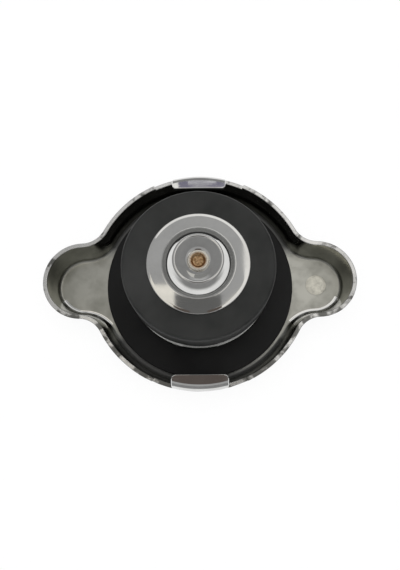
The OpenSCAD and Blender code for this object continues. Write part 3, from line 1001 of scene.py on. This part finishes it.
class CAP_OT_neck_pieces(bpy.types.Operator):
    """Build the rivet, the spring disc, the neck gasket and the spring guide."""

    bl_idname = "cap.neck_pieces"
    bl_label = "Neck Pieces"

    def execute(self, context):
        sizes = context.scene.cap_valve_sizes
        zinc = finish(zinc_plating)
        self.add_rivet(sizes, zinc)
        disc = washer("backing_disc", "spring_disc", sizes.rivet_r + sizes.seat_gap, THIN_EDGE, zinc)
        place(disc, "guide", "zinc_steel", "spring_disc")
        rubber = finish(gasket_rubber)
        bore_r = sizes.guide_r + sizes.seat_gap
        gasket = washer("gasket_ring", "neck_gasket", bore_r, sizes.gasket_edge, rubber)
        place(gasket, "guide", "black_rubber", "neck_gasket")
        self.add_guide(sizes, zinc)
        return {"FINISHED"}

    def add_rivet(self, sizes, material):
        """Rivet with a flat head in the dish and a formed head in the guide."""
        low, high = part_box("centre_rivet")
        inner_z = high.z - sizes.rivet_head_h
        outline = rounded([
            (0.0, low.z, 0),
            (high.x, low.z, HEAD_EDGE),
            (high.x, low.z + sizes.rivet_grip, THIN_EDGE),
            (sizes.rivet_r, low.z + sizes.rivet_grip, 0),
            (sizes.rivet_r, inner_z, 0),
            (high.x, inner_z, PRESSED_EDGE),
            (high.x, high.z, FORMED_EDGE),
            (0.0, high.z, 0),
        ])
        rivet = revolved("formed_rivet", outline, [material], closed=False)
        place(rivet, "shell", "zinc_steel", "centre_rivet")

    def add_guide(self, sizes, material):
        """Cup-shaped guide with an out-turned lip."""
        low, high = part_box("spring_guide")
        mid = sizes.press_sheet / 2
        wall_r = sizes.guide_r - mid
        bend = sizes.press_fold_r + mid
        path = [
            (sizes.rivet_r + sizes.seat_gap, low.z + mid),
            (wall_r, low.z + mid),
            (wall_r, high.z - mid),
            (high.x, high.z - mid),
        ]
        outline = rounded(sheet_corners(path, [bend, bend], sizes.press_sheet, PRESSED_EDGE))
        place(revolved("guide_cup", outline, [material]), "guide", "zinc_steel", "spring_guide")


# Pressure valve


# Sides of a vent hole, and depth of the drill that pierces it
VENT_SIDES = 40
DRILL_DEPTH = 4 * MM


def vent_tree():
    """Geometry nodes that pierce a ring of round holes through a pressing."""
    tree, start, end = geometry_tree("Vent Holes", ("Hole Radius", "Circle Radius", "Height"), ("Count",))
    ring = {"Vertices": (start, "Count"), "Radius": (start, "Circle Radius")}
    circle = add(tree, "GeometryNodeMeshCircle", ring)
    lift = add(tree, "ShaderNodeCombineXYZ", {"Z": (start, "Height")})
    raised = add(tree, "GeometryNodeSetPosition", {"Geometry": (circle, "Mesh"), "Offset": (lift, "Vector")})
    bit = {"Vertices": VENT_SIDES, "Depth": DRILL_DEPTH, "Radius": (start, "Hole Radius")}
    drill = add(tree, "GeometryNodeMeshCylinder", bit)
    each = {"Points": (raised, "Geometry"), "Instance": (drill, "Mesh")}
    spots = add(tree, "GeometryNodeInstanceOnPoints", each)
    real = add(tree, "GeometryNodeRealizeInstances", {"Geometry": (spots, "Instances")})
    solids = {"Mesh 1": (start, "Geometry"), "Mesh 2": (real, "Geometry")}
    cut = add(tree, "GeometryNodeMeshBoolean", solids, operation="DIFFERENCE")
    dress(tree, (cut, "Mesh"), start, end)
    return tree


class CAP_OT_pressure_valve(bpy.types.Operator):
    """Build the valve cup with its vents and the pressure seal."""

    bl_idname = "cap.pressure_valve"
    bl_label = "Pressure Valve"

    def execute(self, context):
        sizes = context.scene.cap_valve_sizes
        self.add_cup(sizes)
        self.add_seal(sizes)
        return {"FINISHED"}

    def add_cup(self, sizes):
        """Drawn cup with a flared foot, an inturned lip and a ring of vents."""
        low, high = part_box("valve_cup")
        mid = sizes.press_sheet / 2
        bend = sizes.press_fold_r + mid
        lip_r = sizes.guide_r + sizes.press_fold_r + sizes.seat_gap
        wall_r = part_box("pressure_seal")[1].x - sizes.seal_lip_t - sizes.seat_gap
        flare_z = low.z + sizes.foot_h
        path = [
            (sizes.stem_r + sizes.seat_gap, high.z - mid),
            (wall_r - mid, high.z - mid),
            (wall_r - mid, flare_z + high.x - wall_r),
            (high.x - mid, flare_z),
            (high.x - mid, low.z + mid),
            (lip_r, low.z + mid),
        ]
        outline = rounded(sheet_corners(path, [bend] * 4, sizes.press_sheet, PRESSED_EDGE))
        material = finish(cup_plating)
        cup = revolved("drawn_cup", outline, [material])
        grown(cup, vent_tree(), {
            "Hole Radius": sizes.vent_r,
            "Circle Radius": sizes.vent_at,
            "Height": high.z - mid,
            "Count": sizes.vent_count,
            "Finish": material,
        })
        place(cup, "plunger", "cup_steel", "valve_cup")

    def add_seal(self, sizes):
        """Moulded rubber seal with a lip round the cup."""
        low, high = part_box("pressure_seal")
        cup_z = high.z - sizes.seal_t
        lip_in = high.x - sizes.seal_lip_t
        outline = rounded([
            (sizes.seal_bore_r, cup_z, PRESSED_EDGE),
            (lip_in, cup_z, SHARP_EDGE),
            (lip_in, low.z, LIP_EDGE),
            (high.x, low.z, SOFT_EDGE),
            (high.x, high.z, sizes.seal_edge),
            (sizes.seal_bore_r, high.z, BORE_EDGE),
        ])
        seal = revolved("moulded_seal", outline, [finish(seal_rubber)])
        place(seal, "plunger", "black_rubber", "pressure_seal")


# Vacuum valve

# Radii of the plate's bends at the dome's foot, belly, crest and hollow, and of its worn and its cut edge
PLATE_BENDS = (0.6 * MM, 11 * MM, 0.25 * MM, 2.4 * MM)
WORN_BEND = 1.2 * MM
PLATE_EDGE = 0.15 * MM
# Segments of each of the plate's bends
PLATE_STEPS = 10
# Flat share of the dimple's radius
DIMPLE_FLAT = 0.7


class CAP_OT_vacuum_valve(bpy.types.Operator):
    """Build the domed vacuum plate, its stem and the keeper washer."""

    bl_idname = "cap.vacuum_valve"
    bl_label = "Vacuum Valve"

    def execute(self, context):
        sizes = context.scene.cap_valve_sizes
        hollow_z = self.add_plate(sizes)
        self.add_stem(sizes, hollow_z)
        bore_r = sizes.stem_r + sizes.seat_gap
        keeper = washer("keeper_washer", "spring_keeper", bore_r, PRESSED_EDGE, finish(zinc_plating))
        place(keeper, "vacuum", "zinc_steel", "spring_keeper")
        return {"FINISHED"}

    def add_plate(self, sizes):
        """Plate with a ring-shaped dome, and the height of the flat in its hollow."""
        low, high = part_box("vacuum_plate")
        mid = sizes.plate_t / 2
        hollow_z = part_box("valve_stem")[1].z - sizes.stem_head_h
        crest_z = hollow_z + sizes.hollow_depth - mid
        path = [
            (high.x, low.z + mid),
            (sizes.dome_foot_r, low.z + mid),
            (sizes.dome_belly_r, low.z + mid + sizes.dome_belly_h),
            (sizes.dome_crest_r, crest_z),
            (sizes.hollow_r, hollow_z - mid),
            (sizes.stem_r + sizes.seat_gap, hollow_z - mid),
        ]
        corners = sheet_corners(path, PLATE_BENDS, sizes.plate_t, PLATE_EDGE)
        rim = corners.pop()
        corners.append((rim[0] - sizes.plate_edge_w, rim[1], WORN_BEND))
        corners.append((rim[0], rim[1] - sizes.plate_edge_drop, PLATE_EDGE))
        outline = rounded(corners, steps=PLATE_STEPS)
        plate = revolved("domed_plate", outline, [finish(polished_plating)])
        place(plate, "vacuum", "polished_plate", "vacuum_plate")
        return hollow_z

    def add_stem(self, sizes, hollow_z):
        """Stem with a dimpled head, a collar behind the plate and a head at its tail."""
        low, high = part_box("valve_stem")
        collar_z = hollow_z - sizes.plate_t
        head_r, head_h = sizes.stem_head_r, sizes.stem_head_h
        top_z = high.z - sizes.head_wear
        outline = rounded([
            (0.0, top_z - sizes.dimple_depth, 0),
            (DIMPLE_FLAT * sizes.dimple_r, top_z - sizes.dimple_depth, DIMPLE_EDGE),
            (sizes.dimple_r, top_z, DIMPLE_EDGE),
            (head_r, top_z, DIMPLE_EDGE),
            (head_r, hollow_z, SHARP_EDGE),
            (sizes.stem_r, hollow_z, 0),
            (sizes.stem_r, collar_z, 0),
            (head_r, collar_z, SHARP_EDGE),
            (head_r, collar_z - head_h, PRESSED_EDGE),
            (sizes.stem_r, collar_z - head_h, 0),
            (sizes.stem_r, low.z + head_h, 0),
            (head_r, low.z + head_h, SHARP_EDGE),
            (head_r, low.z, SOFT_EDGE),
            (0.0, low.z, 0),
        ])
        stem = revolved("riveted_stem", outline, [finish(dull_brass, sizes.dimple_r)], closed=False)
        place(stem, "vacuum", "stem_brass", "valve_stem")


# Springs

# Segments of one turn of a spring and of its wire's section
TURN_STEPS = 64
WIRE_SIDES = 20


def coil_tree():
    """Geometry nodes that wind a wire between two heights, with its end turns closed."""
    floats = ("Mean Radius", "Wire Radius", "Low", "High", "Turns", "End Gap")
    tree, start, end = geometry_tree("Wound Wire", floats, ("Steps", "Sides"))
    line = add(tree, "GeometryNodeCurvePrimitiveLine")
    points = add(tree, "GeometryNodeResampleCurve", {"Curve": (line, "Curve"), "Count": (start, "Steps")})
    along = add(tree, "GeometryNodeSplineParameter")
    turn = maths(tree, "MULTIPLY", (along, "Factor"), (start, "Turns"))
    turn_angle = maths(tree, "MULTIPLY", turn, math.tau)
    bottom = maths(tree, "ADD", (start, "Low"), (start, "Wire Radius"))
    top = maths(tree, "SUBTRACT", (start, "High"), (start, "Wire Radius"))
    closed_rise = maths(tree, "MULTIPLY_ADD", (start, "Wire Radius"), 2.0, (start, "End Gap"))
    both_ends = maths(tree, "MULTIPLY", closed_rise, 2.0)
    open_rise = maths(tree, "SUBTRACT", maths(tree, "SUBTRACT", top, bottom), both_ends)
    last_turn = maths(tree, "SUBTRACT", (start, "Turns"), 1.0)
    height = bottom
    for low, high, rise in (
        (0.0, 1.0, closed_rise),
        (1.0, last_turn, open_rise),
        (last_turn, (start, "Turns"), closed_rise),
    ):
        height = maths(tree, "ADD", height, ranged(tree, turn, low, high, 0.0, rise))
    spot = {"Z": height}
    for axis, wave in (("X", "COSINE"), ("Y", "SINE")):
        spot[axis] = maths(tree, "MULTIPLY", maths(tree, wave, turn_angle), (start, "Mean Radius"))
    winding = {"Geometry": (points, "Curve"), "Position": (add(tree, "ShaderNodeCombineXYZ", spot), "Vector")}
    wound = add(tree, "GeometryNodeSetPosition", winding)
    circle = {"Resolution": (start, "Sides"), "Radius": (start, "Wire Radius")}
    section = add(tree, "GeometryNodeCurvePrimitiveCircle", circle)
    sweep = {"Curve": (wound, "Geometry"), "Profile Curve": (section, "Curve"), "Fill Caps": True}
    skin = add(tree, "GeometryNodeCurveToMesh", sweep)
    real = add(tree, "GeometryNodeRealizeInstances", {"Geometry": (skin, "Mesh")})
    dress(tree, (real, "Geometry"), start, end)
    return tree


class CAP_OT_springs(bpy.types.Operator):
    """Wind the pressure spring and the vacuum spring."""

    bl_idname = "cap.springs"
    bl_label = "Springs"

    def execute(self, context):
        sizes = context.scene.cap_valve_sizes
        tree = coil_tree()
        main = self.wind("pressure_coil", tree, "pressure_spring", sizes, sizes.main_wire_r, sizes.main_turns)
        place(main, "guide", "spring_steel", "pressure_spring")
        small = self.wind("vacuum_coil", tree, "vacuum_spring", sizes, sizes.small_wire_r, sizes.small_turns)
        place(small, "plunger", "spring_steel", "vacuum_spring")
        self.shorten(main, "pressure_press", "pressure_spring", fixed_at_top=False)
        self.shorten(small, "vacuum_pull", "vacuum_spring", fixed_at_top=True)
        return {"FINISHED"}

    def wind(self, name, tree, node, sizes, wire_r, turns):
        """Coil of wire in the box of its node."""
        low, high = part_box(node)
        return grown(linked(name, bpy.data.meshes.new(name)), tree, {
            "Mean Radius": high.x - wire_r,
            "Wire Radius": wire_r,
            "Low": low.z,
            "High": high.z,
            "Turns": turns,
            "End Gap": sizes.seat_gap,
            "Steps": int(turns * TURN_STEPS) + 1,
            "Sides": WIRE_SIDES,
            "Finish": finish(drawn_wire),
        })

    def shorten(self, made, joint, node, fixed_at_top):
        """Gives a coil its own copy of its mesh; the joint and the fixed end are not used."""
        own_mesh(made)


# Stage

# Height of the ceiling under which the panels that show in the metal hang
CEILING = 250 * MM
# Ceiling panels in millimetres: left and right end of the near edge, near and far edge, slant of the sides,
# drop below the ceiling, colour
PANELS = {
    "left_panel": (-80, -17.6, -30, 50, 0.0, 2, (1.0, 0.96, 0.88)),
    "right_panel": (23, 110, -30, 110, 0.0, 2, (1.0, 0.98, 0.95)),
    "right_corner": (4, 40, 30, 52, 1.0, 2, (1.0, 0.96, 0.88)),
    "back_panel": (-75, 110, 110, 225, 0.0, 2, (1.0, 0.99, 0.97)),
    "middle_gap": (-17, 9.5, -40, 43.5, 0.0, 4, (0.15, 0.15, 0.148)),
    "near_gap": (-42, 32, -100, 16, 0.0, 3, (0.12, 0.10, 0.09)),
    "lamp_frame": (-34, 34.5, 207, 219, 0.0, 4, (0.22, 0.21, 0.28)),
    "lamp": (-19.5, 21.5, 211.8, 213.8, 0.0, 6, (1.0, 1.0, 1.0)),
}
# Height, width and power of the soft lamp
LAMP_Z = 0.9
LAMP_SIZE = 1.2
LAMP_POWER = 9.0
# Share of its own glow in the look of floor and backdrop, so that a shadow still shows
GLOW_SHARE = 0.9
# Radius and height of the backdrop round the floor, and the height over which it fades to grey
WALL_R = 1.4
WALL_H = 1.5
FADE_H = 0.15


def room_world(tint):
    """World of even light."""
    world = bpy.data.worlds.new("room")
    world.use_nodes = True
    world.node_tree.nodes["Background"].inputs["Color"].default_value = (*tint, 1.0)
    return world


def soft_box():
    """Wide soft lamp over the floor, left out of the metal's reflections."""
    lamp = bpy.data.lights.new("soft_box", "AREA")
    lamp.size = LAMP_SIZE
    lamp.energy = LAMP_POWER
    made = linked("soft_box", lamp)
    made.location = (0.0, 0.0, LAMP_Z)
    made.visible_glossy = False


def ceiling_panel(name, left, right, near, far, slant, drop, tint):
    """Flat glowing panel under the ceiling that shows only in reflections, with its edges in millimetres."""
    shift = slant * (far - near)
    edges = [(left, near), (right, near), (right + shift, far), (left + shift, far)]
    mesh = bpy.data.meshes.new(name)
    mesh.from_pydata([(x * MM, y * MM, CEILING - drop * MM) for x, y in edges], [], [(0, 1, 2, 3)])
    material, tree = empty_material(name)
    glow = add(tree, "ShaderNodeEmission", {"Color": [*tint, 1.0], "Strength": 1.0})
    add(tree, "ShaderNodeOutputMaterial", {"Surface": (glow, "Emission")})
    mesh.materials.append(material)
    made = linked(name, mesh)
    made.visible_camera = False
    made.visible_diffuse = False
    made.visible_shadow = False


def floor_material(tint, backdrop):
    """White floor and a backdrop that fades to grey, the same to the camera and in metal and glass."""
    material, tree = empty_material("pale_floor")
    matt = add(tree, "ShaderNodeBsdfDiffuse", {"Color": [*tint, 1.0]})
    fade = ranged(tree, (split_place(tree), "Z"), 0.0, FADE_H)
    tone = blended(tree, fade, [1.0, 1.0, 1.0], backdrop)
    glow = add(tree, "ShaderNodeEmission", {"Color": tone, "Strength": 1.0})
    rays = add(tree, "ShaderNodeLightPath")
    seen = maths(tree, "MAXIMUM", (rays, "Is Camera Ray"), (rays, "Is Glossy Ray"))
    seen = maths(tree, "MAXIMUM", seen, (rays, "Is Transmission Ray"))
    share = maths(tree, "MULTIPLY", seen, GLOW_SHARE)
    mix = add(tree, "ShaderNodeMixShader", {"Fac": share, 1: (matt, "BSDF"), 2: (glow, "Emission")})
    add(tree, "ShaderNodeOutputMaterial", {"Surface": (mix, "Shader")})
    return material


class CAP_OT_stage(bpy.types.Operator):
    """Set the pale floor, the soft light and the camera."""

    bl_idname = "cap.stage"
    bl_label = "Stage"

    def execute(self, context):
        scene = context.scene
        settings = scene.cap_stage
        scene.view_settings.view_transform = "Standard"
        self.add_floor(settings)
        self.add_light(scene, settings)
        self.add_camera(scene, settings)
        return {"FINISHED"}

    def add_floor(self, settings):
        """Pale floor under the cap, with a backdrop round it."""
        bm = bmesh.new()
        lathe(bm, [(0.0, 0.0), (WALL_R, 0.0), (WALL_R, WALL_H)], closed=False)
        mesh = bpy.data.meshes.new("floor")
        bm.to_mesh(mesh)
        bm.free()
        mesh.materials.append(floor_material(settings.floor, settings.backdrop))
        floor = linked("floor", mesh)

    def add_light(self, scene, settings):
        """Soft light of the room, and the panels that show in the metal."""
        scene.world = room_world(settings.sky)
        soft_box()
        for name, panel in PANELS.items():
            ceiling_panel(name, *panel)

    def add_camera(self, scene, settings):
        """Camera at the photograph's viewing angle."""
        turn, lift, roll = settings.azimuth, settings.elevation, settings.roll
        back = Vector((math.sin(turn) * math.cos(lift), -math.cos(turn) * math.cos(lift), math.sin(lift)))
        right = Vector((math.cos(turn), math.sin(turn), 0.0))
        up = back.cross(right)
        rolled_right = right * math.cos(roll) + up * math.sin(roll)
        rolled_up = up * math.cos(roll) - right * math.sin(roll)
        eye = Vector((0.0, 0.0, settings.aim_z)) + back * settings.distance
        eye += rolled_right * settings.shift_right + rolled_up * settings.shift_up
        lens = bpy.data.cameras.new("view")
        lens.sensor_width = 36.0
        lens.lens = lens.sensor_width * settings.focal_pixels / PHOTO_LONG_SIDE
        lens.clip_start = 0.01
        camera = linked("view", lens)
        turn_matrix = Matrix((rolled_right, rolled_up, back)).transposed().to_4x4()
        camera.matrix_world = Matrix.Translation(eye) @ turn_matrix
        scene.camera = camera


OPERATORS = (
    CAP_OT_pressed_shell,
    CAP_OT_neck_pieces,
    CAP_OT_pressure_valve,
    CAP_OT_vacuum_valve,
    CAP_OT_springs,
    CAP_OT_stage,
)
SETTINGS = {
    "cap_shell_sizes": CapShellSizes,
    "cap_valve_sizes": CapValveSizes,
    "cap_finishes": CapFinishes,
    "cap_stage": CapStageSettings,
}


class CAP_PT_filler_cap(bpy.types.Panel):
    """Sidebar panel with the sizes, the finishes and the builders."""

    bl_idname = "CAP_PT_filler_cap"
    bl_label = "Filler Cap"
    bl_space_type = "VIEW_3D"
    bl_region_type = "UI"
    bl_category = "Filler Cap"

    def draw(self, context):
        layout = self.layout
        for operator in OPERATORS:
            layout.operator(operator.bl_idname)
        for name, group in SETTINGS.items():
            box = layout.box()
            for key in group.__annotations__:
                box.prop(getattr(context.scene, name), key)


CLASSES = (*SETTINGS.values(), *OPERATORS, CAP_PT_filler_cap)


def register():
    """Registers the classes and hangs the settings on the scene."""
    for cls in CLASSES:
        bpy.utils.register_class(cls)
    for name, group in SETTINGS.items():
        setattr(bpy.types.Scene, name, PointerProperty(type=group))


def unregister():
    """Removes the settings and the classes."""
    for name in SETTINGS:
        delattr(bpy.types.Scene, name)
    for cls in reversed(CLASSES):
        bpy.utils.unregister_class(cls)


def main():
    """Builds every piece and the stage."""
    register()
    bpy.ops.cap.pressed_shell()
    bpy.ops.cap.neck_pieces()
    bpy.ops.cap.pressure_valve()
    bpy.ops.cap.vacuum_valve()
    bpy.ops.cap.springs()
    bpy.ops.cap.stage()
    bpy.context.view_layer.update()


if __name__ == "__main__":
    main()
